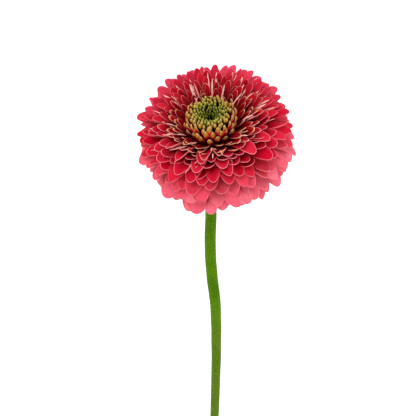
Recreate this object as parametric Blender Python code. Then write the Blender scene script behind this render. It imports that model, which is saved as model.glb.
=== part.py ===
"""A cut double gerbera, lying on its back on a level surface.

The flower head is built about its own axis. Every bract and floret is a thin
blade that follows an arc in a plane through that axis, and the head is then
tilted and set down on the tips of its lowest florets. The stem leaves the head
along the same axis and bends down until it lies flat.
"""

import math

import bmesh
import bpy
from mathutils import Matrix, Vector

MM = 0.001

# Driving dimensions of the head, about its centre, with the axis along +Z.
HEAD_RADIUS = 37.5 * MM
HEAD_RISE = math.radians(30)  # how far the axis points above level
HEAD_LEAN = math.radians(6.5)  # how far the axis leans to the left
CENTRE_HEIGHT = 34.0 * MM  # above the surface that the flower lies on
BLADE = 0.45 * MM  # thickness of a bract or floret
BAND = 0.7 * MM  # width of the band that joins a whorl's feet

# Ray florets, in whorls from the lowest and widest to the one round the crown.
FLORETS = 18
WHORLS = 10
LOOSE_WHORLS = 2  # the outer whorls, whose florets are separate pieces
CUPPED_SHARE = 0.6  # whorls below this share of the way in have a midrib
WHORL_SHIFT = 0.382  # of the spacing in a whorl, from each whorl to the next
RAY_HALF_WIDTHS = (4.0 * MM, 1.8 * MM)  # outermost, innermost
RAY_TURNS = (math.radians(55), math.radians(-7))  # droop, from base to tip
RAY_CUP = 0.6 * MM
RAY_CLAW = 0.24  # width of the base, as a share of the widest
RAY_BASE = (10.5 * MM, -3.0 * MM)  # radius and height of the outermost base
CROWN_BASE = (4.5 * MM, 5.0 * MM)  # the same for the innermost whorl

# The crown of short upright florets, and the closed florets inside it.
CROWN_RINGS = 3
CROWN_HALF_WIDTH = 1.3 * MM
CROWN_TIP = (12.4 * MM, 19.5 * MM)
CROWN_TIP_STEP = (-1.4 * MM, 0.2 * MM)  # from each ring to the next
CROWN_FOOT = (CROWN_BASE[0] - 0.6 * MM, CROWN_BASE[1] + 0.6 * MM)
CROWN_FOOT_STEP = (-0.6 * MM, 0.8 * MM)
CROWN_TURN = math.radians(-38)

# Green parts.
BRACTS = 18
BRACT_HALF_WIDTH = 1.1 * MM
RECEPTACLE_RADIUS = 9.2 * MM
NECK = -10.0 * MM  # height on the axis where the receptacle meets the stem
STEM_TOP_RADIUS = 2.8 * MM
STEM_BELLY_RADIUS = 3.25 * MM
JOINT_GAP = 0.3 * MM  # between pieces that meet

# The bend by which the stem comes down from the head onto the surface. Early on
# it swings to one side of the head.
BEND_END = 108 * MM
BEND_STEPS = 6
TOP_HANDLE = 5 * MM  # the stretch in which the stem leaves the head straight
BEND_SWAY = -1.9 * MM
SWAY_SHARE = 0.4  # of the bend, in which the stem swings over

# The stem's course from there to its cut end, all of it on the surface, as
# (distance behind the head's centre, sideways, radius).
STEM_COURSE = (
    (124 * MM, 0.1 * MM, 3.2 * MM),
    (140 * MM, 1.4 * MM, 3.1 * MM),
    (180 * MM, 2.2 * MM, 2.9 * MM),
    (235 * MM, 1.4 * MM, 2.8 * MM),
    (300 * MM, -0.6 * MM, 2.7 * MM),
    (368 * MM, -1.0 * MM, 2.7 * MM),
)

# A blade's outline, as shares of its length, and the rows of points along it.
WIDEST_AT = 0.6
TIP_ROUND = 0.42
PETAL_ROWS = (0.0, 0.3, 0.6, 0.85, 1.0)
WHORL_ROWS = (0.0, 0.4, 0.75, 1.0)


def clear_scene():
    for obj in list(bpy.data.objects):
        bpy.data.objects.remove(obj)


def make_material(name, colour, roughness):
    material = bpy.data.materials.new(name)
    material.use_nodes = True
    shader = material.node_tree.nodes["Principled BSDF"]
    shader.inputs["Base Color"].default_value = (*colour, 1.0)
    shader.inputs["Roughness"].default_value = roughness
    shader.inputs["Metallic"].default_value = 0.0
    return material


def make_empty(name, parent=None):
    empty = bpy.data.objects.new(name, None)
    bpy.context.scene.collection.objects.link(empty)
    empty.parent = parent
    return empty


def make_object(name, mesh, material, parent):
    obj = bpy.data.objects.new(name, mesh)
    obj.data.materials.append(material)
    obj.parent = parent
    bpy.context.scene.collection.objects.link(obj)
    return obj


def mix(first, last, share):
    return first + (last - first) * share


def smooth_step(share):
    return share * share * (3 - 2 * share)


class Arc:
    """An arc in a plane through the head's axis, from base to tip.

    Points are (radius, height). The direction is an angle from the axis, and it
    grows by turn on the way, so a positive turn bends the tip out and down.
    """

    def __init__(self, base, tip, turn):
        self.base = Vector(base)
        self.chord = Vector(tip) - self.base
        self.turn = turn if abs(turn) > 1e-4 else 1e-4
        self.radius = self.chord.length / (2 * math.sin(self.turn / 2))
        self.start = math.atan2(self.chord.x, self.chord.y) - self.turn / 2

    def direction(self, t):
        return self.start + self.turn * t

    def point(self, t):
        now = self.direction(t)
        out = math.cos(self.start) - math.cos(now)
        up = math.sin(now) - math.sin(self.start)
        return self.base + self.radius * Vector((out, up))


def outline(t, claw):
    """Half-width of a blade as a share of its widest, claw at the base."""
    if t < WIDEST_AT:
        return mix(claw, 1.0, smooth_step(t / WIDEST_AT))
    return math.sqrt(1 - ((t - WIDEST_AT) / TIP_ROUND) ** 2)


def blade_rows(bm, arc, rows, shape, azimuth):
    """Adds a blade's rows of points and returns them.

    Its shape is its widest half-width, its claw as a share of that, and its cup,
    which is how far its edges rise. A blade with no cup has no midrib.
    """
    half_width, claw, cup = shape
    turn = Matrix.Rotation(azimuth, 3, "Z")
    made = []
    for t in rows:
        middle = arc.point(t)
        way = arc.direction(t)
        half = half_width * outline(t, claw)
        rise = cup * (half / half_width) ** 2
        row = []
        for side in (-1, 0, 1) if cup else (-1, 1):
            lift = rise * side * side
            place = Vector((
                middle.x - lift * math.cos(way),
                half * side,
                middle.y + lift * math.sin(way),
            ))
            row.append(bm.verts.new(turn @ place))
        made.append(row)
    return made


def fill_between(bm, row, next_row):
    for i in range(len(row) - 1):
        bm.faces.new((row[i], next_row[i], next_row[i + 1], row[i + 1]))


def finish_blades(name, bm, material, parent):
    """Turns a sheet of blades into an object as thick as a petal."""
    bmesh.ops.recalc_face_normals(bm, faces=bm.faces)
    mesh = bpy.data.meshes.new(name)
    bm.to_mesh(mesh)
    bm.free()
    obj = make_object(name, mesh, material, parent)
    wall = obj.modifiers.new("Thickness", "SOLIDIFY")
    wall.thickness = BLADE
    wall.offset = 0.0
    return obj


def make_blade(name, arc, shape, azimuth, material, parent):
    """One separate blade, turned to its azimuth by the object."""
    bm = bmesh.new()
    rows = blade_rows(bm, arc, PETAL_ROWS, shape, 0.0)
    for row, next_row in zip(rows, rows[1:]):
        fill_between(bm, row, next_row)
    obj = finish_blades(name, bm, material, parent)
    obj.rotation_euler.z = azimuth
    return obj


def make_whorl(name, arcs, shape, shift, material, parent):
    """A ring of blades joined at their feet by a narrow band."""
    bm = bmesh.new()
    spacing = 2 * math.pi / len(arcs)
    feet = []
    for i, arc in enumerate(arcs):
        azimuth = (i + shift) * spacing
        made = blade_rows(bm, arc, WHORL_ROWS, shape, azimuth)
        for row, next_row in zip(made, made[1:]):
            fill_between(bm, row, next_row)
        back = Vector((math.sin(arc.start), 0, math.cos(arc.start))) * BAND
        back.rotate(Matrix.Rotation(azimuth, 3, "Z"))
        foot = [bm.verts.new(vert.co - back) for vert in made[0]]
        fill_between(bm, foot, made[0])
        feet.append((foot, made[0]))
    for i, (foot, top) in enumerate(feet):
        next_foot, next_top = feet[(i + 1) % len(feet)]
        bm.faces.new((foot[-1], top[-1], next_top[0], next_foot[0]))
    return finish_blades(name, bm, material, parent)


def turned(name, profile, sides, material, parent):
    """A solid turned about the axis from (radius, height) points."""
    bm = bmesh.new()
    verts = [bm.verts.new((radius, 0, height)) for radius, height in profile]
    for vert, next_vert in zip(verts, verts[1:]):
        bm.edges.new((vert, next_vert))
    bmesh.ops.spin(
        bm,
        geom=bm.verts[:] + bm.edges[:],
        axis=(0, 0, 1),
        cent=(0, 0, 0),
        steps=sides,
        angle=2 * math.pi,
    )
    bmesh.ops.remove_doubles(bm, verts=bm.verts, dist=0.01 * MM)
    bmesh.ops.recalc_face_normals(bm, faces=bm.faces)
    mesh = bpy.data.meshes.new(name)
    bm.to_mesh(mesh)
    bm.free()
    mesh.shade_smooth()
    return make_object(name, mesh, material, parent)


def whorl_share(whorl):
    return whorl / (WHORLS - 1)


def ray_base(share):
    radius = mix(RAY_BASE[0], CROWN_BASE[0], share)
    return radius, mix(RAY_BASE[1], CROWN_BASE[1], share)


def ray_tip(share):
    """Tips lie on a ball that flattens and falls in towards the crown."""
    polar = math.radians(110 - 97 * share + 36 * share * share)
    fall = max(0.0, (share - 0.35) / 0.65) ** 1.5
    reach = HEAD_RADIUS * (1 - 0.4 * fall)
    return reach * math.sin(polar), reach * math.cos(polar)


def tip_above_surface(tip, azimuth, head_turn):
    """The same tip, drawn in towards the axis if it would be in the surface."""
    out = head_turn @ Vector((math.cos(azimuth), math.sin(azimuth), 0))
    axis = head_turn @ Vector((0, 0, 1))
    if out.z >= 0:
        return tip
    room = (CENTRE_HEIGHT - BLADE + tip[1] * axis.z) / -out.z
    return min(tip[0], room), tip[1]


def ray_arc(share, azimuth, head_turn):
    tip = tip_above_surface(ray_tip(share), azimuth, head_turn)
    return Arc(ray_base(share), tip, mix(*RAY_TURNS, share))


def make_rays(head, head_turn, outer, inner):
    """Two outer whorls of separate florets, then the joined whorls."""
    spacing = 2 * math.pi / FLORETS
    number = 1
    for whorl in range(WHORLS):
        share = whorl_share(whorl)
        shift = 0.5 + WHORL_SHIFT * whorl
        cup = RAY_CUP if share < CUPPED_SHARE else 0.0
        shape = (mix(*RAY_HALF_WIDTHS, share), RAY_CLAW, cup)
        azimuths = [(i + shift) * spacing for i in range(FLORETS)]
        arcs = [ray_arc(share, azimuth, head_turn) for azimuth in azimuths]
        if whorl >= LOOSE_WHORLS:
            name = f"ray_whorl_{whorl + 1:02d}"
            material = outer if share < 0.5 else inner
            make_whorl(name, arcs, shape, shift, material, head)
            continue
        for arc, azimuth in zip(arcs, azimuths):
            make_blade(f"ray_floret_{number:02d}", arc, shape, azimuth, outer, head)
            number += 1


def make_crown(head, material):
    """Rings of short upright florets that curve in over the closed ones."""
    for ring in range(CROWN_RINGS):
        foot = Vector(CROWN_FOOT) + ring * Vector(CROWN_FOOT_STEP)
        tip = Vector(CROWN_TIP) + ring * Vector(CROWN_TIP_STEP)
        arcs = [Arc(foot, tip, CROWN_TURN)] * FLORETS
        shape = (CROWN_HALF_WIDTH, RAY_CLAW, 0.0)
        make_whorl(f"crown_ring_{ring + 1}", arcs, shape, WHORL_SHIFT * ring, material, head)


def make_disc(head, material):
    """The closed florets in the middle, packed into one dimpled cushion."""
    profile = (
        (0.0, 7.9 * MM),
        (1.6 * MM, 8.3 * MM),
        (5.2 * MM, 12.4 * MM),
        (7.2 * MM, 17.2 * MM),
        (6.6 * MM, 18.4 * MM),
        (4.4 * MM, 18.5 * MM),
        (1.6 * MM, 17.4 * MM),
        (0.0, 16.6 * MM),
    )
    turned("disc_florets", profile, 24, material, head)


def make_receptacle(head, material):
    """The swollen top of the stem that the florets stand on."""
    crown_foot = CROWN_BASE[0] - 2.1 * MM
    profile = (
        (0.0, NECK),
        (STEM_TOP_RADIUS, NECK),
        (STEM_TOP_RADIUS + 0.6 * MM, NECK + 1.5 * MM),
        (RECEPTACLE_RADIUS, -4.6 * MM),
        (RECEPTACLE_RADIUS, -3.4 * MM),
        (crown_foot + 0.8 * MM, 4.6 * MM),
        (crown_foot - 1.2 * MM, 6.6 * MM),
        (0.0, 6.9 * MM),
    )
    turned("receptacle", profile, 24, material, head)


def make_involucre(head, material):
    """Two series of green bracts under the florets."""
    inner = Arc((6.6 * MM, -7.6 * MM), (16.0 * MM, -4.6 * MM), math.radians(24))
    outer = Arc((5.4 * MM, -8.8 * MM), (13.0 * MM, -7.6 * MM), math.radians(34))
    shape = (BRACT_HALF_WIDTH, 0.7, 0.0)
    make_whorl("bracts_inner", [inner] * BRACTS, shape, 0.0, material, head)
    make_whorl("bracts_outer", [outer] * BRACTS, shape, 0.5, material, head)


def stem_points(neck, down_axis):
    """Points and radii from the neck, down the bend, and along the surface."""
    bend_end = Vector((BEND_SWAY, -BEND_END, STEM_BELLY_RADIUS))
    reach = (bend_end - neck).length / 3
    first = neck + down_axis * reach
    last = bend_end + Vector((0, reach, 0))
    points = []
    for i in range(BEND_STEPS + 1):
        t = i / BEND_STEPS
        place = (
            neck * (1 - t) ** 3
            + first * 3 * t * (1 - t) ** 2
            + last * 3 * t * t * (1 - t)
            + bend_end * t**3
        )
        place.x = mix(neck.x, BEND_SWAY, smooth_step(min(1.0, t / SWAY_SHARE)))
        points.append((place, mix(STEM_TOP_RADIUS, STEM_BELLY_RADIUS, t)))
    for behind, sideways, radius in STEM_COURSE:
        points.append((Vector((sideways, -behind, radius)), radius))
    return points


def make_stem(neck, down_axis, material, parent):
    curve = bpy.data.curves.new("stem", "CURVE")
    curve.dimensions = "3D"
    curve.bevel_depth = 1.0
    curve.bevel_resolution = 3
    curve.resolution_u = 3
    curve.use_fill_caps = True
    spline = curve.splines.new("BEZIER")
    points = stem_points(neck, down_axis)
    spline.bezier_points.add(len(points) - 1)
    for point, (place, radius) in zip(spline.bezier_points, points):
        point.co = place
        point.radius = radius
        point.handle_left_type = "AUTO"
        point.handle_right_type = "AUTO"
    top = spline.bezier_points[0]
    top.handle_left_type = "FREE"
    top.handle_right_type = "FREE"
    top.handle_left = neck - down_axis * TOP_HANDLE
    top.handle_right = neck + down_axis * TOP_HANDLE
    return make_object("stem", curve, material, parent)


def stand_on_origin(root):
    """Moves the flower so that the middle of its footprint is the origin."""
    bpy.context.view_layer.update()
    graph = bpy.context.evaluated_depsgraph_get()
    places = []
    for obj in bpy.data.objects:
        if obj.type == "EMPTY":
            continue
        evaluated = obj.evaluated_get(graph)
        mesh = evaluated.to_mesh()
        places += [evaluated.matrix_world @ vert.co for vert in mesh.vertices]
        evaluated.to_mesh_clear()
    low = Vector(min(place[i] for place in places) for i in range(3))
    high = Vector(max(place[i] for place in places) for i in range(3))
    root.location = (-(low.x + high.x) / 2, -(low.y + high.y) / 2, -low.z)
    bpy.context.view_layer.update()


def main():
    clear_scene()
    coral = make_material("ray_coral", (0.78, 0.10, 0.16), 0.6)
    crimson = make_material("ray_crimson", (0.58, 0.01, 0.04), 0.6)
    ochre = make_material("crown_ochre", (0.55, 0.28, 0.07), 0.6)
    lime = make_material("disc_green", (0.20, 0.23, 0.03), 0.65)
    leaf = make_material("bract_green", (0.12, 0.22, 0.03), 0.6)
    stalk = make_material("stem_green", (0.10, 0.20, 0.01), 0.55)

    root = make_empty("gerbera")
    head = make_empty("head", root)
    tilt = Matrix.Rotation(HEAD_RISE - math.pi / 2, 3, "X")
    head_turn = Matrix.Rotation(HEAD_LEAN, 3, "Z") @ tilt
    head.rotation_euler = head_turn.to_euler()
    head.location.z = CENTRE_HEIGHT

    make_rays(head, head_turn, coral, crimson)
    make_crown(head, ochre)
    make_disc(head, lime)
    make_receptacle(head, leaf)
    make_involucre(head, leaf)

    axis = head_turn @ Vector((0, 0, 1))
    neck = head.location + axis * (NECK - JOINT_GAP)
    make_stem(neck, -axis, stalk, root)
    stand_on_origin(root)


main()
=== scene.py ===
import math
import random

import bmesh
import bpy
from mathutils import Matrix, Vector


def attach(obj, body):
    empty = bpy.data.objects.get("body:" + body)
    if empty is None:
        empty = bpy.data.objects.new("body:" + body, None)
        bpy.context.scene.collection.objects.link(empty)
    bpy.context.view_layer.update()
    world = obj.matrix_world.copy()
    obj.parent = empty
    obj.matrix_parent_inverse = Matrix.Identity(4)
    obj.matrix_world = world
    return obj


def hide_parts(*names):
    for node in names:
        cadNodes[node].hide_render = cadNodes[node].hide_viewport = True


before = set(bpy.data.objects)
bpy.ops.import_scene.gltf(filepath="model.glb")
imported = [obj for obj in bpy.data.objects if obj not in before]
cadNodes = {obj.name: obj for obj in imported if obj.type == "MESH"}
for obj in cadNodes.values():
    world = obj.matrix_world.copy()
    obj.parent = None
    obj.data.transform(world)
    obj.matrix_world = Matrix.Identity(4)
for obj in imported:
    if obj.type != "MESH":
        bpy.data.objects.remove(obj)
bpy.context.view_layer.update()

mm = 0.001
aside = 10  # shaped points wait this far off, so the rest are found by their place


# small tools
def tint(red, green, blue):
    # screen colour, 0 to 255, to the linear colour that a shader takes
    def linear(value):
        value /= 255
        return value / 12.92 if value <= 0.04045 else ((value + 0.055) / 1.055) ** 2.4
    return (linear(red), linear(green), linear(blue), 1.0)


def mix(first, last, share):
    return first + (last - first) * share


def smooth(share):
    share = min(1.0, max(0.0, share))
    return share * share * (3 - 2 * share)


def selectOnly(*objs):
    for other in bpy.context.selected_objects:
        other.select_set(False)
    for obj in objs:
        obj.select_set(True)
    bpy.context.view_layer.objects.active = objs[0]


def selectRow(obj, axis, place):
    # in edit mode: selects the points at one place along an axis
    bm = bmesh.from_edit_mesh(obj.data)
    for vert in bm.verts:
        vert.select = abs(vert.co[axis] - place) < 0.01
    bm.select_flush(True)
    bm.select_flush(False)
    bmesh.update_edit_mesh(obj.data)


def cutAcross(obj, axis, cuts):
    # in edit mode: cuts the sides of a cylinder that goes from -1 to 1 along an axis
    bm = bmesh.from_edit_mesh(obj.data)
    for vert in bm.verts:
        vert.select = False
    for edge in bm.edges:
        edge.select = abs(edge.verts[0].co[axis] - edge.verts[1].co[axis]) > 1
    bmesh.update_edit_mesh(obj.data)
    bpy.ops.mesh.subdivide(number_cuts=cuts)


def followProfile(obj, axis, profile):
    # in edit mode: gives such a cylinder the places and half-widths of a profile
    cutAcross(obj, axis, len(profile) - 2)
    for ring, (place, halfWidth) in enumerate(profile):
        start = 2 * ring / (len(profile) - 1) - 1
        size, centre, move = [halfWidth] * 3, [0] * 3, [0] * 3
        size[axis], centre[axis], move[axis] = 1, start, aside + place - start
        selectRow(obj, axis, start)
        bpy.ops.transform.resize(value=size, center_override=centre)
        bpy.ops.transform.translate(value=move)
    home = [0] * 3
    home[axis] = -aside
    bpy.ops.mesh.select_all(action="SELECT")
    bpy.ops.transform.translate(value=home)


def applyAll(obj):
    selectOnly(obj)
    for modifier in list(obj.modifiers):
        bpy.ops.object.modifier_apply(modifier=modifier.name)


def giveNumbers(mesh, name, values):
    # a number at each point, which a material can read
    layer = mesh.attributes.get(name) or mesh.attributes.new(name, "FLOAT", "POINT")
    if not hasattr(values, "__len__"):
        values = [values] * len(mesh.vertices)
    layer.data.foreach_set("value", values)


def joinPieces(name, parts):
    selectOnly(*parts)
    if len(parts) > 1:
        bpy.ops.object.join()
    piece = bpy.context.view_layer.objects.active
    piece.name = name
    piece.data.name = name
    return piece


# the head's own axes, read from the solids
head = {
    "neckHeight": -10.0 * mm,  # where the receptacle ends, below the head's centre
}


def middleOf(node):
    points = [vert.co for vert in cadNodes[node].data.vertices]
    unique = {tuple(round(value, 6) for value in point): point for point in points}
    return sum(unique.values(), Vector()) / len(unique)


axisPoint = middleOf("bracts_outer")
headAxis = (middleOf("crown_ring_1") - axisPoint).normalized()
neckOnAxis = min(vert.co.dot(headAxis) for vert in cadNodes["receptacle"].data.vertices)
toCentre = neckOnAxis - head["neckHeight"] - axisPoint.dot(headAxis)
headCentre = axisPoint + headAxis * toCentre
headSide = headAxis.cross(Vector((0, 0, 1))).normalized()
headFront = headAxis.cross(headSide)
headTurn = Matrix((headSide, headFront, headAxis)).transposed().to_4x4()
headFrame = Matrix.Translation(headCentre) @ headTurn
print("head centre", [round(value, 4) for value in headCentre])


def wayOut(azimuth):
    # from the head's axis; z is above 0 on the side towards the stem
    return headSide * math.cos(azimuth) + headFront * math.sin(azimuth)


# camera
cameraSetting = {
    "distance": 280 * mm,
    "lens": 49.45,
    "height": math.radians(63),  # how far it stands above level, past the flower's top
    "right": 2.7 * mm,  # how far the head sits right of the middle of the picture
    "up": 34.8 * mm,
}


def placeCamera(setting):
    height = setting["height"]
    away = Vector((0, math.cos(height), math.sin(height)))
    up = Vector((0, math.sin(height), -math.cos(height)))
    right = up.cross(away)
    bpy.ops.object.camera_add()
    camera = bpy.context.object
    camera.name = "camera"
    place = headCentre + away * setting["distance"]
    place = place - right * setting["right"] - up * setting["up"]
    turn = Matrix((right, up, away)).transposed().to_4x4()
    camera.matrix_world = Matrix.Translation(place) @ turn
    camera.data.lens = setting["lens"]
    camera.data.clip_start = 10 * mm
    bpy.context.scene.camera = camera


placeCamera(cameraSetting)
print("camera placed")


# writing materials
class Value:
    # a socket's value, on which sums are written as in Python
    def __init__(self, book, socket):
        self.book = book
        self.socket = socket

    def sum(self, operation, *others):
        return self.book.node("ShaderNodeMath", {"operation": operation}, [self, *others])

    def __add__(self, other):
        return self.sum("ADD", other)

    def __sub__(self, other):
        return self.sum("SUBTRACT", other)

    def __mul__(self, other):
        return self.sum("MULTIPLY", other)

    def __truediv__(self, other):
        return self.sum("DIVIDE", other)

    def __pow__(self, other):
        return self.sum("POWER", other)

    def __rsub__(self, other):
        return self.sum("MULTIPLY", -1.0).sum("ADD", other)

    __radd__ = __add__
    __rmul__ = __mul__

    def between(self, low, high):
        # 0 below low, 1 above high, and smooth on the way
        settings = {"interpolation_type": "SMOOTHSTEP"}
        inputs = {"Value": self, "From Min": low, "From Max": high}
        return self.book.node("ShaderNodeMapRange", settings, inputs)


class Finish:
    # one material, its shader and its nodes
    def __init__(self, name, **constants):
        self.material = bpy.data.materials.new(name)
        self.material.use_nodes = True
        self.tree = self.material.node_tree
        self.shader = self.tree.nodes["Principled BSDF"]
        for socket, value in constants.items():
            self.shader.inputs[socket.replace("_", " ")].default_value = value

    def node(self, kind, settings=None, inputs=(), output=0):
        made = self.tree.nodes.new(kind)
        for key, value in (settings or {}).items():
            setattr(made, key, value)
        pairs = inputs.items() if isinstance(inputs, dict) else enumerate(inputs)
        for key, value in pairs:
            self.feed(made.inputs[key], value)
        return Value(self, made.outputs[output])

    def feed(self, socket, value):
        if isinstance(value, Value):
            self.tree.links.new(value.socket, socket)
        else:
            socket.default_value = value

    def number(self, name):
        return self.node("ShaderNodeAttribute", {"attribute_name": name}, output=2)

    def spot(self):
        return self.node("ShaderNodeTexCoord", output=3)

    def blend(self, share, first, last):
        inputs = {0: share, 6: first, 7: last}
        return self.node("ShaderNodeMix", {"data_type": "RGBA"}, inputs, output=2)

    def vector(self, x, y, z):
        return self.node("ShaderNodeCombineXYZ", None, [x, y, z])

    def noise(self, where, scale, detail=2.0):
        inputs = {"Vector": where, "Scale": scale, "Detail": detail}
        return self.node("ShaderNodeTexNoise", None, inputs)

    def bump(self, height, strength, distance):
        inputs = {"Height": height, "Strength": strength, "Distance": distance}
        self.feed(self.shader.inputs["Normal"], self.node("ShaderNodeBump", None, inputs))

    def colour(self, value):
        self.feed(self.shader.inputs["Base Color"], value)

    def roughness(self, value):
        self.feed(self.shader.inputs["Roughness"], value)

    def rim(self):
        # 1 at a blade's edge, over the width in its number "rim"
        return 1 - (self.number("edge") / self.number("rim")).between(0.6, 1.3)


# ray florets: one blade, shaped flat, then bent along its own path
blade = {
    "claw": 0.26,  # width at the foot, as a share of the widest
    "widest": 0.68,
    "narrowest": 0.02,  # at the very tip, before the taper
    "slim": 5.0,  # length, in half-widths, from which the rim is reckoned
    "creaseSlope": 3,
    "cupStart": 2.5,  # how soon the cup deepens from the foot
    "cupFall": (0.7, 1.1),  # how fast it flattens as the blade narrows, and more at the tip
    "hoodSpan": (0.7, 0.3),  # where the hood starts, and how long it is
    "hoodBend": 2.5,
    # where the rows of points lie along the blade, and how many columns of faces it has
    "fine": {
        "rows": (0.0, 0.12, 0.26, 0.4, 0.53, 0.65, 0.76, 0.85, 0.92, 0.965, 0.988, 1.0),
        "columns": 8,
    },
    "plain": {
        "rows": (0.0, 0.22, 0.45, 0.64, 0.79, 0.885, 0.95, 0.985, 1.0),
        "columns": 4,
    },
    "hooded": {
        "rows": (0.0, 0.35, 0.6, 0.74, 0.84, 0.92, 0.97, 1.0),
        "columns": 6,
    },
}

# name: how deep the blade is cupped, how long and how sharp its tip, how far one side rolls in,
# the fold along its middle, how far its tip turns, and how far its tip hoods over
bladeShapes = {
    "round": {
        "cup": 0.30, "blunt": 0.322, "taper": 0.5, "roll": 0.0,
        "crease": 0.05, "turn": 0, "hood": 0.1,
    },
    "spoon": {
        "cup": 0.46, "blunt": 0.323, "taper": 0.46, "roll": 0.0,
        "crease": 0.0, "turn": 4, "hood": 0.35,
    },
    "pointed": {
        "cup": 0.26, "blunt": 0.321, "taper": 0.78, "roll": 0.06,
        "crease": 0.1, "turn": -6, "hood": 0.0,
    },
    "rolled": {
        "cup": 0.40, "blunt": 0.322, "taper": 0.6, "roll": 0.5,
        "crease": 0.0, "turn": 8, "hood": 0.1,
    },
    "flat": {
        "cup": 0.12, "blunt": 0.323, "taper": 0.52, "roll": -0.1,
        "crease": 0.09, "turn": 0, "hood": -0.1,
    },
}
hoodShapes = {
    "hood": {
        "cup": 1.0, "blunt": 0.323, "taper": 0.5, "roll": 0.0,
        "crease": 0.0, "turn": 0, "hood": 0.9,
    },
    "lip": {
        "cup": 0.7, "blunt": 0.323, "taper": 0.8, "roll": 0.3,
        "crease": 0.0, "turn": 12, "hood": 0.2,
    },
    "scoop": {
        "cup": 0.85, "blunt": 0.322, "taper": 0.5, "roll": 0.1,
        "crease": 0.0, "turn": 5, "hood": 0.6,
    },
}


def bladeWidth(t, shape):
    if t < blade["widest"]:
        return mix(blade["claw"], 1.0, smooth(t / blade["widest"]))
    past = (t - blade["widest"]) / shape["blunt"]
    return max(blade["narrowest"], 1 - past ** 2) ** shape["taper"]


def bladeRise(y, shape):
    # across the blade, from -1 to 1
    crease = shape["crease"] * max(0, 1 - abs(y) * blade["creaseSlope"])
    return shape["cup"] * y * y - crease + shape["roll"] * max(0, y) ** 3


def bladeHood(t, shape):
    start, length = blade["hoodSpan"]
    return shape["hood"] * max(0.0, (t - start) / length) ** blade["hoodBend"]


def makeBlade(shape, net):
    # lies along X from 0 to 1, one unit wide each side along Y, cupped up along Z
    rows, columns = net["rows"], net["columns"]
    bpy.ops.mesh.primitive_grid_add(x_subdivisions=len(rows) - 1, y_subdivisions=columns, size=2)
    obj = bpy.context.object
    selectOnly(obj)
    across = [vert.co.y for vert in obj.data.vertices]
    bpy.ops.object.mode_set(mode="EDIT")
    for column in range(columns + 1):
        y = 2 * column / columns - 1
        selectRow(obj, 1, y)
        bpy.ops.transform.translate(value=(0, 0, bladeRise(y, shape)))
    fall, tipFall = blade["cupFall"]
    for row, t in enumerate(rows):
        x = 2 * row / (len(rows) - 1) - 1
        selectRow(obj, 0, x)
        wide = bladeWidth(t, shape)
        tall = wide ** (fall + tipFall * t ** 3) * smooth(t * blade["cupStart"])
        bpy.ops.transform.resize(value=(1, wide, tall), center_override=(x, 0, 0))
        turn = math.radians(shape["turn"] * t * t)
        bpy.ops.transform.rotate(value=turn, orient_axis="X", center_override=(x, 0, 0))
        bpy.ops.transform.translate(value=(aside + t - x, 0, bladeHood(t, shape)))
    bpy.ops.mesh.select_all(action="SELECT")
    bpy.ops.transform.translate(value=(-aside, 0, 0))
    bpy.ops.object.mode_set(mode="OBJECT")
    along = [vert.co.x for vert in obj.data.vertices]
    rim = [
        min((1 - abs(y)) * bladeWidth(t, shape), (1 - t) * blade["slim"])
        for t, y in zip(along, across)
    ]
    giveNumbers(obj.data, "along", along)
    giveNumbers(obj.data, "across", across)
    giveNumbers(obj.data, "edge", rim)
    return obj


blades = {}
for shapeName, bladeShape in bladeShapes.items():
    for netName in ("fine", "plain"):
        blades[netName, shapeName] = makeBlade(bladeShape, blade[netName])
for shapeName, bladeShape in hoodShapes.items():
    blades["hooded", shapeName] = makeBlade(bladeShape, blade["hooded"])
print(len(blades), "blades shaped")


def makePath(dimensions, points, steps):
    # a curve that pieces are stretched along
    curve = bpy.data.curves.new("path", "CURVE")
    curve.dimensions = dimensions
    curve.resolution_u = steps
    curve.use_stretch = True
    curve.use_deform_bounds = True
    curve.splines.new("BEZIER").bezier_points.add(points - 1)
    path = bpy.data.objects.new("path", curve)
    bpy.context.scene.collection.objects.link(path)
    return path


def bendAlong(obj, path):
    modifier = obj.modifiers.new("bend", "CURVE")
    modifier.object = path
    modifier.deform_axis = "POS_X"
    applyAll(obj)


bendPath = makePath("2D", 2, 24)


def bendOver(obj, foot, tip, droop, curl):
    # along a path in the upright plane through the head's axis; x is out, y is up
    foot, tip = Vector(foot), Vector(tip)
    chord = tip - foot
    middle = math.atan2(chord.x, chord.y)
    start = middle - droop / 2
    end = middle + droop / 2 + curl
    reach = chord.length / 3 * (1 + droop * droop / 16)  # makes the path near to an arc
    first, last = bendPath.data.splines[0].bezier_points
    away = Vector((math.sin(start), math.cos(start))) * reach
    home = Vector((math.sin(end), math.cos(end))) * reach
    for point, place, way in ((first, foot, away), (last, tip, home)):
        point.co = (place.x, place.y, 0)
        point.handle_left = (place.x - way.x, place.y - way.y, 0)
        point.handle_right = (place.x + way.x, place.y + way.y, 0)
    bendAlong(obj, bendPath)


onEdge = Matrix.Rotation(-math.pi / 2, 4, "X")  # from lying flat to the path's plane
upright = Matrix.Rotation(math.pi / 2, 4, "X")


def growBlade(pattern, foot, tip, droop, curl, halfWidth, lean, azimuth, numbers):
    # one floret in its place on the head, still a sheet
    obj = pattern.copy()
    obj.data = pattern.data.copy()
    bpy.context.scene.collection.objects.link(obj)
    size = Matrix.Diagonal((1, halfWidth, halfWidth, 1))
    obj.data.transform(onEdge @ Matrix.Rotation(lean, 4, "X") @ size)
    bendOver(obj, foot, tip, droop, curl)
    obj.data.transform(headFrame @ Matrix.Rotation(azimuth, 4, "Z") @ upright)
    for name, value in numbers.items():
        giveNumbers(obj.data, name, value)
    return obj


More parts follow.
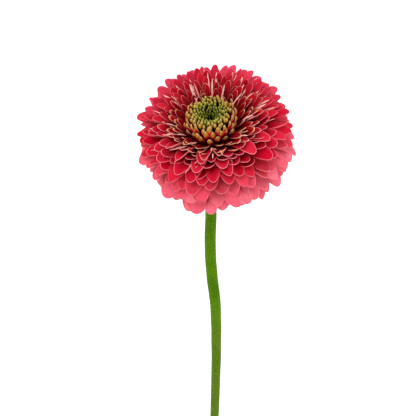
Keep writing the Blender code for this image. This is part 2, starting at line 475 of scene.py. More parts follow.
def finishSheet(piece, inside, outside, thickness):
    piece.data.materials.clear()
    piece.data.materials.append(inside)
    piece.data.materials.append(outside)
    wall = piece.modifiers.new("wall", "SOLIDIFY")
    wall.thickness = thickness
    wall.offset = 0
    wall.material_offset = 1
    wall.material_offset_rim = 0
    applyAll(piece)
    selectOnly(piece)
    bpy.ops.object.shade_smooth()


floor = {
    "clear": 0.5 * mm,  # the lowest that a floret's sheet may lie
    "soft": 5 * mm,  # below this height a floret gives way
}


def restOnFloor(obj):
    room = floor["soft"] - floor["clear"]
    for vert in obj.data.vertices:
        if vert.co.z < floor["soft"]:
            vert.co.z = floor["clear"] + room * math.exp((vert.co.z - floor["soft"]) / room)


# finishes of the ray florets
petalColours = {
    # each floret's own tone lies between the two
    "outerTip": (tint(230, 84, 106), tint(250, 128, 146)),
    "middleTip": (tint(210, 8, 46), tint(228, 38, 70)),
    "innerTip": (tint(140, 0, 6), tint(180, 2, 18)),
    "paintedFarSheen": tint(240, 116, 146),  # painted sheen: lighter pink over the outer tips, on the side away from the stem
    "foot": (tint(192, 8, 40), tint(160, 0, 22)),  # from the outer whorls inwards; partly the florets' own deeper colour at the foot, partly painted shade under the whorl above
    # near black: painted shade in the crevice round the crown
    "innerFootShade": tint(36, 0, 2),
    "veins": tint(150, 0, 20),
    "cloud": tint(240, 70, 96),
    "sideShade": tint(160, 0, 30),  # painted shade along the sides of the outer florets, where they overlap
    # from foot to tip
    "outerBack": (tint(202, 50, 66), tint(236, 104, 120)),
    "innerBack": (tint(120, 8, 14), tint(206, 96, 92)),
    "backVeins": tint(196, 50, 70),
    # painted highlight along the florets' edges near the tip
    "rim": tint(252, 160, 168),
    "innerRimHighlight": (tint(250, 182, 150), tint(248, 166, 158)),  # painted highlight on the inner florets' edges, towards the stem and away
    "tipHighlight": tint(240, 184, 132),  # painted highlight, cream, on the innermost tips, on the side towards the stem
}


def petalFinish(name, side):
    # its number "inward" is 0 in the outermost whorl and 1 in the innermost
    finish = Finish(name, Specular_IOR_Level=0.05)
    colours = petalColours
    along = finish.number("along")
    across = finish.number("across")
    inward = finish.number("inward")
    tone = finish.number("tone")
    far = finish.number("far")
    veins = finish.noise(finish.vector(along * 1.2, across * 5.0, tone * 40.0), 3.0, 3.0)
    cloud = finish.noise(finish.vector(along * 2.2, across, tone * 60.0), 2.2, 2.0)
    if side == "front":
        outerTip = finish.blend(tone, *colours["outerTip"])
        middleTip = finish.blend(tone, *colours["middleTip"])
        innerTip = finish.blend(tone, *colours["innerTip"])
        tip = finish.blend(inward.between(0.04, 0.42), outerTip, middleTip)
        tip = finish.blend(inward.between(0.4, 0.95), tip, innerTip)
        # painted sheen: the outer tips are lighter pink on the side away from the stem
        paintedFarSheen = far * (1 - inward.between(0.3, 0.7)) * 0.42
        tip = finish.blend(paintedFarSheen, tip, colours["paintedFarSheen"])
        # darker feet: partly the florets' own colour, partly painted shade where the whorls
        # overlap, near black in the crevice
        foot = finish.blend(inward.between(0.0, 0.3), *colours["foot"])
        foot = finish.blend(inward.between(0.3, 0.9), foot, colours["innerFootShade"])
        outer = 1 - inward.between(0.0, 0.25)
        deep = (along - inward * 0.14 - outer * 0.1).between(0.3, 0.84)
        body = finish.blend(deep, foot, tip)
        body = finish.blend(veins.between(0.42, 0.62) * 0.26, body, colours["veins"])
        body = finish.blend(cloud.between(0.5, 0.75) * 0.12, body, colours["cloud"])
        # painted shade along the sides of the outer florets, towards their feet, where
        # neighbours overlap
        sideShade = 1 - finish.number("edge").between(0.04, 0.34)
        sideShade = sideShade * (1 - along.between(0.72, 0.95)) * (1 - inward.between(0.12, 0.45))
        body = finish.blend(sideShade * 0.75, body, colours["sideShade"])
        rimHighlightAmount = inward.between(0.2, 0.85) * 0.36 + 0.38
    else:
        outerBack = finish.blend(along.between(0.1, 0.9), *colours["outerBack"])
        innerBack = finish.blend(along.between(0.1, 0.9), *colours["innerBack"])
        body = finish.blend(inward.between(0.1, 0.7), outerBack, innerBack)
        body = finish.blend(veins.between(0.4, 0.6) * 0.3, body, colours["backVeins"])
        rimHighlightAmount = inward.between(0.1, 0.9) * 0.5 + 0.12
    # painted highlight on the edges near the tip, weaker on the side away from the stem
    rim = finish.rim() * along.between(0.66, 0.95)
    innerRimHighlight = finish.blend(far, *colours["innerRimHighlight"])
    pale = finish.blend(inward.between(0.75, 1.0), colours["rim"], innerRimHighlight)
    body = finish.blend(rim * rimHighlightAmount * finish.number("lit"), body, pale)
    # painted highlight on the innermost tips, on the side towards the stem
    tipHighlight = inward.between(0.7, 0.9) * along.between(0.91, 0.98) * (1 - far) ** 2
    body = finish.blend(tipHighlight * 0.62, body, colours["tipHighlight"])
    finish.colour(body)
    finish.roughness(0.5 + 0.12 * cloud)
    finish.bump(veins, 0.3, 0.2 * mm)
    return finish.material


petalFront = petalFinish("petal_front", "front")
petalBack = petalFinish("petal_back", "back")
print("petal finishes written")


# the whorls of ray florets; a share is 0 at the outermost whorl and 1 at the innermost
rays = {
    "florets": 18,  # as in the solids
    "moreFlorets": 32,  # in each inner whorl, which has two ranks
    "rank": 0.028,  # how far each stands from its whorl, in shares
    "whorls": 10,
    "looseWhorls": 2,
    "shift": 0.382,  # of the spacing, from each whorl to the next
    "between": (0.65, 0.5),  # where the further florets of a loose whorl stand, in spacings
    "seed": 40,
    "thickness": 0.22 * mm,
    # chances of the blade shapes, how many more for spoons inwards, where flat ones end
    "chances": {"round": 5, "spoon": 4, "pointed": 3, "rolled": 2, "flat": 4},
    "moreSpoons": 6,
    "flatUntil": 0.4,
    # tips lie on a dome: degrees from the head's axis as a sum of powers of the share
    "radius": 38.1 * mm,
    "polar": (110, -97, 36),
    "hollow": {"start": 0.35, "over": 0.65, "power": 1.5, "depth": 0.4},
    "innermost": 1.03,
    "feet": ((10.5 * mm, -3.0 * mm), (4.5 * mm, 5.0 * mm)),
    "openUp": 0.065,  # how much longer the florets are on the side away from the stem
    "sideways": 0.015,  # and on the right
    "lengths": (0.955, 1.01),  # single florets', shortest and longest
    "ragged": (0.03, 0.024),  # how much shorter and longer the outer ones may be
    "longer": 0.022,  # how much longer the outermost are
    "crevice": 3.4 * mm,  # how far the inner ones stand off the crown, towards the stem
    "halfWidths": (4.3 * mm, 1.8 * mm),
    "narrowing": 1.5,
    "wider": (0.17, -0.4),  # towards the stem, and how far it turns round on the other side
    "droop": (math.radians(50), math.radians(-36)),  # below 0 the tip turns up
    "drooping": 1.3,
    "cupped": math.radians(-16),  # more for the inner florets towards the stem
    "curl": (math.radians(4), math.radians(2)),
    # width of the painted rim highlight
    "rim": 0.12 * mm,
    # on the side away from the stem: how wide and how pale the painted rim highlight is, outer
    # and inner
    "farRim": (0.2, 0.7),
    "farLit": (0.35, 0.75),
    # shares between which a change comes in
    "fades": {
        "openUp": (0.0, 1 / 3),
        "even": (0.0, 0.4),  # no longer ragged
        "short": (0.0, 0.2),
        "standing": (0.5, 0.9),
        "rim": (0.6, 0.9),
    },
    # how much single florets differ
    "varied": {
        "share": 0.014,
        "azimuth": (math.radians(1.4), math.radians(3.4)),
        "halfWidth": (0.84, 1.1),
        "droop": math.radians(8),
        "curl": math.radians(12),
        "lean": math.radians(13),
    },
}


def rayTip(share):
    base, first, second = rays["polar"]
    polar = math.radians(base + first * share + second * share * share)
    hollow = rays["hollow"]
    fall = max(0.0, (share - hollow["start"]) / hollow["over"]) ** hollow["power"]
    reach = rays["radius"] * (1 - hollow["depth"] * fall)
    return Vector((reach * math.sin(polar), reach * math.cos(polar)))


def rayFoot(share):
    outer, inner = rays["feet"]
    return Vector((mix(outer[0], inner[0], share), mix(outer[1], inner[1], share)))


def drawnIn(tip, azimuth):
    # a tip that would be in the floor comes in towards the axis
    out = wayOut(azimuth)
    if out.z >= 0:
        return tip
    room = (headCentre.z - floor["clear"] + tip.y * headAxis.z) / -out.z
    return Vector((min(tip.x, room), tip.y))


def fade(name, share):
    start, end = rays["fades"][name]
    return smooth((share - start) / (end - start))


def growRay(share, azimuth, dice, net):
    varied = rays["varied"]
    chances = dict(rays["chances"])
    chances["spoon"] += rays["moreSpoons"] * share
    if share >= rays["flatUntil"]:
        chances["flat"] = 0
    shape = dice.choices(list(chances), weights=list(chances.values()))[0]
    tip = rayTip(min(rays["innermost"], share + dice.gauss(0, varied["share"])))
    azimuth += dice.gauss(0, mix(*varied["azimuth"], share))
    out = wayOut(azimuth)
    tip = tip * (1 - rays["openUp"] * out.z * fade("openUp", share) + rays["sideways"] * out.x)
    ragged = 1 - fade("even", share)
    shortest = rays["lengths"][0] - rays["ragged"][0] * ragged
    longest = rays["lengths"][1] + rays["ragged"][1] * ragged
    longer = rays["longer"] * (1 - fade("short", share))
    tip = tip * (dice.uniform(shortest, longest) + longer)
    inner = fade("standing", share) * max(0.0, out.z)
    tip.x += rays["crevice"] * inner
    tip = drawnIn(tip, azimuth)
    halfWidth = mix(*rays["halfWidths"], max(0, share) ** rays["narrowing"])
    halfWidth *= dice.uniform(*varied["halfWidth"])
    wider, until = rays["wider"]
    halfWidth *= 1 + wider * max(out.z, until)
    droop = mix(*rays["droop"], max(0, share) ** rays["drooping"]) + rays["cupped"] * inner
    droop += dice.gauss(0, varied["droop"])
    curl = mix(*rays["curl"], share) + dice.gauss(0, varied["curl"])
    near = smooth(out.z + 0.5)
    inside = fade("rim", share)
    numbers = {
        "tone": dice.random(),
        "inward": share,
        # width and strength of the painted rim highlight, less on the side away from the stem
        "rim": rays["rim"] * mix(mix(*rays["farRim"], inside), 1.0, near) / halfWidth,
        "lit": mix(mix(*rays["farLit"], inside), 1.0, near),
        "far": smooth(-out.z * 1.5),
    }
    lean = dice.gauss(0, varied["lean"])
    pattern, foot = blades[net, shape], rayFoot(share)
    obj = growBlade(pattern, foot, tip, droop, curl, halfWidth, lean, azimuth, numbers)
    restOnFloor(obj)
    return obj


def makeLooseWhorl(whorl):
    # the outermost florets are pieces of their own, with more of them between
    dice = random.Random(rays["seed"] + whorl)
    share = whorl / (rays["whorls"] - 1)
    spacing = 2 * math.pi / rays["florets"]
    between = []
    for i in range(rays["florets"]):
        azimuth = (i + 0.5 + rays["shift"] * whorl) * spacing
        number = whorl * rays["florets"] + i + 1
        piece = joinPieces(f"petal_{number:02d}", [growRay(share, azimuth, dice, "fine")])
        finishSheet(piece, petalFront, petalBack, rays["thickness"])
        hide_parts(f"ray_floret_{number:02d}")
        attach(piece, "root")
        azimuth += spacing * rays["between"][whorl]
        between.append(growRay(share - rays["rank"], azimuth, dice, "plain"))
    piece = joinPieces(f"petals_between_{whorl + 1}", between)
    finishSheet(piece, petalFront, petalBack, rays["thickness"])
    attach(piece, "root")


def makeInnerWhorl(whorl):
    dice = random.Random(rays["seed"] + whorl)
    spacing = 2 * math.pi / rays["moreFlorets"]
    grown = []
    for i in range(rays["moreFlorets"]):
        rank = rays["rank"] if i % 2 else -rays["rank"]
        share = whorl / (rays["whorls"] - 1) + rank
        azimuth = (i + 0.5 + rays["shift"] * whorl) * spacing
        grown.append(growRay(share, azimuth, dice, "plain"))
    piece = joinPieces(f"petals_{whorl + 1:02d}", grown)
    finishSheet(piece, petalFront, petalBack, rays["thickness"])
    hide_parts(f"ray_whorl_{whorl + 1:02d}")
    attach(piece, "root")


for whorl in range(rays["whorls"]):
    if whorl < rays["looseWhorls"]:
        makeLooseWhorl(whorl)
    else:
        makeInnerWhorl(whorl)
print(rays["whorls"], "whorls grown")


# inner lips: the narrow pale blades that stand inside the ray florets
lips = {
    # span is along a ray floret, and away is the side away from the stem
    "tall": {
        "count": 40,
        "shares": (0.5, 0.9),
        "span": (0.25, 0.98),
        "halfWidth": (0.3 * mm, 0.5 * mm),
        "away": True,
        "seed": 61,
    },
    "small": {
        "count": 26,
        "shares": (0.45, 0.9),
        "span": (0.5, 0.93),
        "halfWidth": (0.16 * mm, 0.28 * mm),
        "away": False,
        "seed": 62,
    },
    "above": (0.7 * mm, 1.5 * mm),  # over the ray floret's face
    "footAbove": 0.4,  # of that
    "lengths": (0.92, 1.03),
    "curl": 0.1,
    "varied": {"bend": math.radians(16), "lean": math.radians(50)},
    # each lip's own tone lies between the two
    "pale": (tint(255, 176, 174), tint(255, 208, 192)),
    "foot": tint(150, 6, 20),
    "streak": tint(224, 84, 100),
}


def lipFinish():
    finish = Finish("lip_skin", Specular_IOR_Level=0.12)
    along = finish.number("along")
    across = finish.number("across")
    tone = finish.number("tone")
    grain = finish.noise(finish.vector(along * 3.0, across * 3.0, tone * 50.0), 3.0)
    pale = finish.blend(tone, *lips["pale"])
    body = finish.blend((along + tone * 0.2).between(0.2, 0.6), lips["foot"], pale)
    body = finish.blend(grain.between(0.45, 0.65) * 0.3, body, lips["streak"])
    finish.colour(body)
    finish.roughness(0.45 + 0.15 * grain)
    finish.bump(grain, 0.2, 0.1 * mm)
    return finish.material


def growLip(setting, dice):
    share = dice.uniform(*setting["shares"])
    azimuth = dice.uniform(0, math.pi)
    if (wayOut(azimuth).z > 0) == setting["away"]:
        azimuth += math.pi
    rayEnd, rayStart = rayTip(share), rayFoot(share)
    way = (rayEnd - rayStart).normalized()
    above = Vector((-way.y, way.x)) * dice.uniform(*lips["above"])
    start, end = setting["span"]
    foot = rayStart.lerp(rayEnd, start) + above * lips["footAbove"]
    tip = rayStart.lerp(rayEnd, end * dice.uniform(*lips["lengths"])) + above
    tip = drawnIn(tip, azimuth)
    numbers = {"tone": dice.random()}
    bend = dice.gauss(0, lips["varied"]["bend"])
    halfWidth = dice.uniform(*setting["halfWidth"])
    lean = dice.gauss(0, lips["varied"]["lean"])
    pattern, curl = blades["hooded", "lip"], lips["curl"]
    return growBlade(pattern, foot, tip, bend, curl, halfWidth, lean, azimuth, numbers)


def makeLips():
    skin = lipFinish()
    for group in ("tall", "small"):
        dice = random.Random(lips[group]["seed"])
        grown = [growLip(lips[group], dice) for i in range(lips[group]["count"])]
        piece = joinPieces("inner_lips_" + group, grown)
        finishSheet(piece, skin, skin, rays["thickness"])
        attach(piece, "root")


makeLips()
print("inner lips grown")


# crown: short florets whose tips hood over
crown = {
    "rings": (
        # florets, foot, tip, half-width
        (18, (6.2 * mm, 4.2 * mm), (13.1 * mm, 13.0 * mm), 1.5 * mm),
        (19, (5.6 * mm, 5.4 * mm), (12.3 * mm, 15.9 * mm), 1.4 * mm),
        (20, (5.0 * mm, 6.4 * mm), (11.4 * mm, 18.5 * mm), 1.25 * mm),
    ),
    "shapes": ("hood", "hood", "scoop"),
    "shift": 0.382,
    "seed": 70,
    "droop": math.radians(-54),
    "curl": math.radians(-12),
    "rim": 0.16 * mm,
    "varied": {
        "azimuth": 0.11,  # of the spacing
        "tip": (0.4 * mm, 0.7 * mm),
        "droop": math.radians(7),
        "halfWidth": (0.8, 1.08),
        "lean": math.radians(8),
    },
    "foot": (tint(60, 0, 4), tint(196, 8, 30)),  # from the foot up; the dark end is painted shade among the florets' feet
    "inside": tint(120, 20, 16),
    "ochre": (tint(206, 144, 52), tint(184, 110, 30)),  # each floret's tone lies between
    "innerOchre": tint(150, 136, 46),
    # painted highlight on the hooded tips
    "top": tint(222, 180, 126),
    "grain": tint(110, 50, 16),
    # painted highlight along the florets' edges
    "crownRimHighlight": tint(226, 168, 128),
}


def crownFinish(name, side):
    finish = Finish(name, Specular_IOR_Level=0.14)
    along = finish.number("along")
    tone = finish.number("tone")
    inward = finish.number("inward")
    grain = finish.noise(finish.spot(), 2200.0, 2.0)
    # dark at the foot: painted shade among the crown's florets
    crimson = finish.blend(along.between(0.2, 0.6), *crown["foot"])
    if side == "front":
        body = finish.blend(along.between(0.5, 1.0) * 0.5, crimson, crown["inside"])
    else:
        ochre = finish.blend(tone, *crown["ochre"])
        ochre = finish.blend(inward, ochre, crown["innerOchre"])
        body = finish.blend((along + tone * 0.06).between(0.8, 0.91), crimson, ochre)
        # painted highlight at the very tip
        body = finish.blend(along.between(0.9, 1.0) * 0.6, body, crown["top"])
    body = finish.blend(grain.between(0.45, 0.65) * 0.15, body, crown["grain"])
    # painted highlight along the edges
    body = finish.blend(finish.rim() * along.between(0.5, 0.8) * 0.7, body, crown["crownRimHighlight"])
    finish.colour(body)
    finish.roughness(0.42 + 0.2 * grain)
    finish.bump(grain, 0.2, 0.1 * mm)
    return finish.material


def growCrownFloret(ring, place, dice):
    count, foot, tip, halfWidth = crown["rings"][ring]
    varied = crown["varied"]
    azimuth = place + crown["shift"] * ring + dice.gauss(0, varied["azimuth"])
    azimuth = azimuth * 2 * math.pi / count
    tip = Vector(tip) + Vector([dice.gauss(0, spread) for spread in varied["tip"]])
    droop = crown["droop"] + dice.gauss(0, varied["droop"])
    halfWidth *= dice.uniform(*varied["halfWidth"])
    numbers = {
        "tone": dice.random(),
        "inward": ring / len(crown["rings"]),
        "rim": crown["rim"] / halfWidth,
    }
    pattern = blades["hooded", dice.choice(crown["shapes"])]
    lean = dice.gauss(0, varied["lean"])
    curl = crown["curl"]
    return growBlade(pattern, foot, tip, droop, curl, halfWidth, lean, azimuth, numbers)


def makeCrown():
    front, back = crownFinish("crown_front", "front"), crownFinish("crown_back", "back")
    for ring in range(len(crown["rings"])):
        dice = random.Random(crown["seed"] + ring)
        count = crown["rings"][ring][0]
        grown = [growCrownFloret(ring, place, dice) for place in range(count)]
        piece = joinPieces(f"crown_florets_{ring + 1}", grown)
        finishSheet(piece, front, back, rays["thickness"])
        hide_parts(f"crown_ring_{ring + 1}")
        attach(piece, "root")


makeCrown()
print("crown grown")


# disc: closed buds round a dark eye
bud = {
    "sides": 6,
    # share of the length, half-width there
    "profile": (
        (0.0, 0.35), (0.35, 0.5), (0.68, 0.78), (0.86, 1.0), (0.95, 0.78), (1.0, 0.34),
    ),
    # each bud's own tone lies between the two
    "ochre": (tint(190, 150, 54), tint(164, 130, 42)),
    "lime": (tint(166, 166, 52), tint(140, 146, 40)),
    "leaf": (tint(126, 146, 30), tint(104, 126, 24)),
    # from the outer buds inwards; near black, painted shade between the buds
    "foot": (tint(36, 1, 2), tint(12, 18, 2)),
    "shine": (tint(206, 176, 112), tint(176, 182, 96)),
    "grain": tint(96, 70, 20),
}

disc = {
    "eye": 2.0 * mm,  # radius left open in the middle
    "outer": 10.0 * mm,
    # the next pairs are inside and outside
    "spacing": (1.0 * mm, 1.9 * mm),  # between neighbours
    "tipHeight": (13.2 * mm, 19.0 * mm),
    "length": (8.5 * mm, 9.5 * mm),
    "bend": (math.radians(-30), math.radians(-26)),
    "curl": (math.radians(-14), math.radians(-12)),
    "rise": 1.35,  # how soon the tips reach their full height
    "footRadius": 0.6,  # of the tip's
    "halfWidth": 0.43,  # of the spacing
    "room": 0.87,  # that a bud takes, in squares of the spacing
    "nearest": 0.3 * mm,  # that a tip comes to the head's axis
    "varied": {
        "height": 0.3 * mm,
        "radius": 0.2 * mm,
        "halfWidth": (0.82, 1.1),
        "bend": math.radians(8),
        "azimuth": 0.04,
    },
    "seed": 90,
}


def makeBud():
    # a closed finger along X from 0 to 1, one unit wide each side
    bpy.ops.mesh.primitive_cylinder_add(
        vertices=bud["sides"], radius=1, depth=2, rotation=(0, math.pi / 2, 0)
    )
    obj = bpy.context.object
    obj.name = "bud"
    selectOnly(obj)
    bpy.ops.object.transform_apply(location=True, rotation=True, scale=True)
    bpy.ops.object.mode_set(mode="EDIT")
    followProfile(obj, 0, bud["profile"])
    bpy.ops.mesh.normals_make_consistent(inside=False)
    bpy.ops.object.mode_set(mode="OBJECT")
    giveNumbers(obj.data, "along", [vert.co.x for vert in obj.data.vertices])
    return obj


def budFinish():
    finish = Finish("bud_skin", Specular_IOR_Level=0.16)
    along = finish.number("along")
    inward = finish.number("inward")
    tone = finish.number("tone")
    grain = finish.noise(finish.spot(), 2600.0, 2.0)
    ochre = finish.blend(tone, *bud["ochre"])
    lime = finish.blend(tone, *bud["lime"])
    leaf = finish.blend(tone, *bud["leaf"])
    top = finish.blend(inward.between(0.1, 0.45), ochre, lime)
    top = finish.blend(inward.between(0.5, 0.95), top, leaf)
    foot = finish.blend(inward.between(0.2, 0.6), *bud["foot"])
    needle = inward.between(0.5, 0.85) * 0.35  # the innermost are green further down
    # dark lower part: painted shade between the buds
    body = finish.blend((along + needle).between(0.72, 0.92), foot, top)
    shine = finish.blend(inward.between(0.2, 0.8), *bud["shine"])
    body = finish.blend(along.between(0.93, 1.0) * 0.6, body, shine)
    body = finish.blend(grain.between(0.45, 0.65) * 0.2, body, bud["grain"])
    finish.colour(body)
    finish.roughness(0.42 + 0.2 * grain)
    finish.bump(grain, 0.2, 0.1 * mm)
    return finish.material


def budSpacing(radius):
    return mix(*disc["spacing"], smooth(radius / disc["outer"]))


def growBud(pattern, radius, azimuth, dice):
    outward = radius / disc["outer"]
    varied = disc["varied"]
    height = mix(*disc["tipHeight"], smooth(outward * disc["rise"]))
    height += dice.gauss(0, varied["height"])
    foot = (radius * disc["footRadius"], height - mix(*disc["length"], outward))
    tip = (max(disc["nearest"], radius + dice.gauss(0, varied["radius"])), height)
    halfWidth = budSpacing(radius) * disc["halfWidth"] * dice.uniform(*varied["halfWidth"])
    bend = mix(*disc["bend"], outward) + dice.gauss(0, varied["bend"])
    curl = mix(*disc["curl"], outward)
    numbers = {"tone": dice.random(), "inward": 1 - outward}
    azimuth += dice.gauss(0, varied["azimuth"])
    return growBlade(pattern, foot, tip, bend, curl, halfWidth, 0.0, azimuth, numbers)


def makeDisc():
    dice = random.Random(disc["seed"])
    goldenAngle = math.pi * (3 - math.sqrt(5))
    pattern = makeBud()
    grown = []
    radius = disc["eye"]
    while radius < disc["outer"]:
        grown.append(growBud(pattern, radius, len(grown) * goldenAngle, dice))
        radius += disc["room"] * budSpacing(radius) ** 2 / (2 * math.pi * radius)
    bpy.data.objects.remove(pattern)
    piece = joinPieces("disc_buds", grown)
    piece.data.materials.clear()
    piece.data.materials.append(budFinish())
    selectOnly(piece)
    bpy.ops.object.shade_smooth()
    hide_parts("disc_florets")
    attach(piece, "root")
    print("disc grown,", len(grown), "buds")


makeDisc()


# receptacle and bracts
receptacle = {
    "sides": 32,
    "green": (-4 * mm, -2 * mm),  # green below the first height, dark above the second
    # height, radius
    "profile": (
        (-9.9 * mm, 2.9 * mm), (-8.4 * mm, 3.8 * mm), (-6.6 * mm, 6.6 * mm),
        (-4.6 * mm, 9.3 * mm), (-3.2 * mm, 9.6 * mm), (0.6 * mm, 7.6 * mm),
        (4.2 * mm, 5.2 * mm), (7.2 * mm, 3.6 * mm),
    ),
}

bracts = {
    "inner": {
        "count": 24,
        "foot": (6.9 * mm, -7.2 * mm),
        "tip": (16.4 * mm, -5.2 * mm),
        "halfWidth": 1.35 * mm,
        "droop": math.radians(26),
        "seed": 120,
    },
    "outer": {
        "count": 20,
        "foot": (5.2 * mm, -8.6 * mm),
        "tip": (12.8 * mm, -8.2 * mm),
        "halfWidth": 1.25 * mm,
        "droop": math.radians(34),
        "seed": 121,
    },
    "thickness": 0.4 * mm,
    "curl": 0.1,
    "varied": {"azimuth": 0.12, "tip": (0.5 * mm, 0.4 * mm)},
}

greens = {
    "dark": tint(62, 92, 18),
    "light": tint(112, 142, 46),
    "grain": tint(176, 190, 110),
    "bractTip": tint(120, 60, 60),
    "shaded": tint(24, 0, 0),  # the receptacle among the florets' feet
}


def makeReceptacle():
    bpy.ops.mesh.primitive_cylinder_add(vertices=receptacle["sides"], radius=1, depth=2)
    obj = bpy.context.object
    obj.name = "receptacle_flesh"
    selectOnly(obj)
    bpy.ops.object.mode_set(mode="EDIT")
    followProfile(obj, 2, receptacle["profile"])
    bpy.ops.object.mode_set(mode="OBJECT")
    smoother = obj.modifiers.new("smooth", "SUBSURF")
    smoother.levels = smoother.render_levels = 1
    applyAll(obj)
    low, high = receptacle["green"]
    dark = [smooth((vert.co.z - low) / (high - low)) for vert in obj.data.vertices]
    giveNumbers(obj.data, "along", dark)
    obj.data.transform(headFrame)
    selectOnly(obj)
    bpy.ops.object.shade_smooth()
    return obj


def greenFinish(name, endColour):
    # its number "along" goes from green at 0 to the end colour at 1
    finish = Finish(name, Sheen_Weight=0.25, Sheen_Roughness=0.5, Specular_IOR_Level=0.4)
    along = finish.number("along")
    cloud = finish.noise(finish.spot(), 420.0, 3.0)
    grain = finish.noise(finish.spot(), 3800.0, 2.0)
    body = finish.blend(cloud.between(0.35, 0.7), greens["dark"], greens["light"])
    body = finish.blend(grain.between(0.5, 0.7) * 0.35, body, greens["grain"])
    body = finish.blend(along.between(0.75, 1.0) * 0.7, body, endColour)
    finish.colour(body)
    finish.roughness(0.5 + 0.15 * grain)
    finish.bump(grain, 0.3, 0.2 * mm)
    return finish.material


def growBract(setting, place, dice):
    azimuth = place + dice.gauss(0, bracts["varied"]["azimuth"])
    azimuth = azimuth * 2 * math.pi / setting["count"]
    spreads = bracts["varied"]["tip"]
    tip = Vector(setting["tip"]) + Vector([dice.gauss(0, spread) for spread in spreads])
    numbers = {"tone": dice.random()}
    pattern, foot = blades["plain", "pointed"], setting["foot"]
    droop, curl, halfWidth = setting["droop"], bracts["curl"], setting["halfWidth"]
    return growBlade(pattern, foot, tip, droop, curl, halfWidth, 0.0, azimuth, numbers)


def makeBracts(series, skin):
    setting = bracts[series]
    dice = random.Random(setting["seed"])
    grown = [growBract(setting, place, dice) for place in range(setting["count"])]
    piece = joinPieces("bract_leaves_" + series, grown)
    finishSheet(piece, skin, skin, bracts["thickness"])
    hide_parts("bracts_" + series)
    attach(piece, "root")


flesh = makeReceptacle()
flesh.data.materials.append(greenFinish("flesh_skin", greens["shaded"]))
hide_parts("receptacle")
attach(flesh, "root")
bractSkin = greenFinish("bract_skin", greens["bractTip"])
makeBracts("inner", bractSkin)
makeBracts("outer", bractSkin)
print("receptacle and bracts grown")


# stem
stem = {
    "cadSides": 10,  # points in each ring of the solid
    "sides": 28,
    "lengths": 150,
    "radius": 3 * mm,
    "cutSide": -1,  # which end of the straight cylinder is cut
    "rind": 0.5 * mm,
    "pith": 1.2 * mm,
    "hollow": 0.01,  # how deep the middle is, in half lengths of the stem
    "fuller": 1.08,  # than the solid
    # place along Y in metres, shift to the right in millimetres
    "sway": (
        (0.165, 0.5), (0.113, 0.9), (0.097, 0.5), (0.085, 0.67), (0.079, 0.9), (0.068, 1.92),
        (0.058, 2.45), (0.046, 1.97), (0.035, 1.35), (0.016, 0.8), (-0.03, 0.28), (-0.2, 0.0),
    ),
    "skin": (tint(58, 102, 0), tint(84, 128, 0)),
    "lower": tint(84, 106, 28),
    "streak": tint(54, 90, 0),
    "lightSpeck": tint(124, 158, 24),
    "darkSpeck": tint(48, 84, 0),
    "cut": tint(176, 190, 120),
}


def stemRings():
    # middle and radius of each ring of the solid, from the cut end to the neck
    corners = cadNodes["stem"].data.vertices
    points = {tuple(round(value, 6) for value in vert.co) for vert in corners}
    ordered = sorted(points, key=lambda point: point[1])
    rings = []
    for start in range(0, len(ordered), stem["cadSides"]):
        ring = [Vector(point) for point in ordered[start:start + stem["cadSides"]]]
        middle = sum(ring, Vector()) / len(ring)
        rings.append((middle, (ring[0] - middle).length))
    return rings


def stemSway(y):
    # eases the solid's sideways course
    for (high, highShift), (low, lowShift) in zip(stem["sway"], stem["sway"][1:]):
        if low <= y <= high:
            return mix(lowShift, highShift, smooth((y - low) / (high - low))) * mm
    return 0.0


def makeStemPath():
    rings = stemRings()
    path = makePath("3D", len(rings), 6)
    for point, (middle, radius) in zip(path.data.splines[0].bezier_points, rings):
        point.co = middle + Vector((stemSway(middle.y), 0, radius * (stem["fuller"] - 1)))
        point.radius = radius / stem["radius"] * stem["fuller"]
        point.handle_left_type = "AUTO"
        point.handle_right_type = "AUTO"
    return path


def hollowCut(obj):
    # in edit mode: a rind, then pith round a shallow hollow, on the cut end
    bpy.ops.mesh.select_all(action="DESELECT")
    bm = bmesh.from_edit_mesh(obj.data)
    for face in bm.faces:
        if len(face.verts) > 4 and face.normal.x * stem["cutSide"] > 0.9:
            face.select = True
    bmesh.update_edit_mesh(obj.data)
    bpy.ops.mesh.inset(thickness=stem["rind"], depth=0)
    bpy.ops.mesh.inset(thickness=stem["pith"], depth=0)
    bpy.ops.transform.translate(value=(-stem["cutSide"] * stem["hollow"], 0, 0))


def makeStem():
    bpy.ops.mesh.primitive_cylinder_add(
        vertices=stem["sides"], radius=stem["radius"], depth=2, rotation=(0, math.pi / 2, 0)
    )
    obj = bpy.context.object
    obj.name = "stem_skin"
    selectOnly(obj)
    bpy.ops.object.transform_apply(location=True, rotation=True, scale=True)
    bpy.ops.object.mode_set(mode="EDIT")
    cutAcross(obj, 0, stem["lengths"])
    hollowCut(obj)
    bpy.ops.object.mode_set(mode="OBJECT")
    places = [vert.co.copy() for vert in obj.data.vertices]
    inside = (stem["radius"] - stem["rind"]) * 1.02
    cut = [1.0 if math.hypot(place.y, place.z) < inside else 0.0 for place in places]
    around = [math.atan2(place.z, place.y) for place in places]
    giveNumbers(obj.data, "cut", cut)
    giveNumbers(obj.data, "along", [place.x / 2 + 0.5 for place in places])
    giveNumbers(obj.data, "aroundX", [math.cos(angle) for angle in around])
    giveNumbers(obj.data, "aroundY", [math.sin(angle) for angle in around])
    path = makeStemPath()
    bendAlong(obj, path)
    bpy.data.objects.remove(path)
    selectOnly(obj)
    bpy.ops.object.shade_smooth_by_angle(angle=math.radians(50))
    return obj


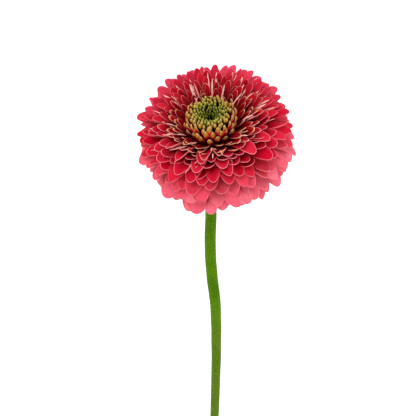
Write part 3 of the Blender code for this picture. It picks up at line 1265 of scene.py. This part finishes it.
def stemFinish():
    finish = Finish("stem_green_skin", Specular_IOR_Level=0.04)
    along = finish.number("along")
    aroundX, aroundY = finish.number("aroundX"), finish.number("aroundY")
    streak = finish.noise(finish.vector(along * 5.0, aroundX * 3.2, aroundY * 3.2), 4.0, 3.0)
    cloud = finish.noise(finish.spot(), 34.0, 2.0)
    grain = finish.noise(finish.spot(), 1500.0, 2.0)
    lower = (1 - along).between(0.3, 0.44)
    body = finish.blend(cloud.between(0.3, 0.7), *stem["skin"])
    body = finish.blend(lower * 0.8, body, stem["lower"])
    body = finish.blend(streak.between(0.5, 0.72) * 0.3, body, stem["streak"])
    body = finish.blend(grain.between(0.5, 0.62) * 0.4, body, stem["lightSpeck"])
    body = finish.blend((1 - grain).between(0.52, 0.64) * 0.5, body, stem["darkSpeck"])
    body = finish.blend(finish.number("cut"), body, stem["cut"])
    finish.colour(body)
    finish.roughness(0.46 + 0.2 * grain)
    finish.bump(streak + grain * 0.6, 0.4, 0.3 * mm)
    return finish.material


stemPiece = makeStem()
stemPiece.data.materials.append(stemFinish())
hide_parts("stem")
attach(stemPiece, "root")
print("stem grown")

for pattern in [*blades.values(), bendPath]:
    bpy.data.objects.remove(pattern)


# floor and light
studio = {
    "floorSize": 6.0,
    "floorColour": (0.92, 0.92, 0.92, 1.0),
    "floorGlow": 0.6,
    "white": (1, 1, 1, 1),
    "skyStrength": 0.32,  # overhead
    "horizonStrength": 1.0,
    "fade": (0.2, 0.6),  # between these heights, as sines, one goes over to the other
    # name: place from the head, size, power
    "lamps": {
        "key": ((-0.2, 0.7, 0.7), 0.4, 3.6),
        "left": ((-0.8, 0.0, 0.6), 0.5, 1.8),
        "right": ((0.8, 0.0, 0.6), 0.5, 2.0),
        "front": ((0.1, -0.3, 0.9), 0.4, 4.0),
    },
}


def makeFloor():
    bpy.ops.mesh.primitive_plane_add(size=studio["floorSize"])
    ground = bpy.context.object
    ground.name = "floor"
    finish = Finish("floor_paper", Roughness=0.9, Specular_IOR_Level=0.1)
    finish.shader.inputs["Base Color"].default_value = studio["floorColour"]
    finish.shader.inputs["Emission Color"].default_value = studio["white"]
    finish.shader.inputs["Emission Strength"].default_value = studio["floorGlow"]
    ground.data.materials.append(finish.material)


def placeLamps():
    for name, (offset, size, power) in studio["lamps"].items():
        place = headCentre + Vector(offset)
        bpy.ops.object.light_add(type="AREA", location=place)
        lamp = bpy.context.object
        lamp.name = "lamp_" + name
        lamp.data.size = size
        lamp.data.energy = power
        lamp.rotation_euler = (headCentre - place).to_track_quat("-Z", "Y").to_euler()


def makeSky():
    world = bpy.data.worlds.new("studio")
    bpy.context.scene.world = world
    world.use_nodes = True
    nodes, links = world.node_tree.nodes, world.node_tree.links
    way = nodes.new("ShaderNodeTexCoord")
    split = nodes.new("ShaderNodeSeparateXYZ")
    fade = nodes.new("ShaderNodeMapRange")
    low, high = studio["fade"]
    fade.inputs["From Min"].default_value = low
    fade.inputs["From Max"].default_value = high
    fade.inputs["To Min"].default_value = studio["horizonStrength"]
    fade.inputs["To Max"].default_value = studio["skyStrength"]
    links.new(way.outputs["Generated"], split.inputs[0])
    links.new(split.outputs["Z"], fade.inputs["Value"])
    nodes["Background"].inputs["Color"].default_value = studio["white"]
    links.new(fade.outputs[0], nodes["Background"].inputs["Strength"])


makeFloor()
placeLamps()
makeSky()
bpy.context.scene.view_settings.view_transform = "Standard"
print("studio set")
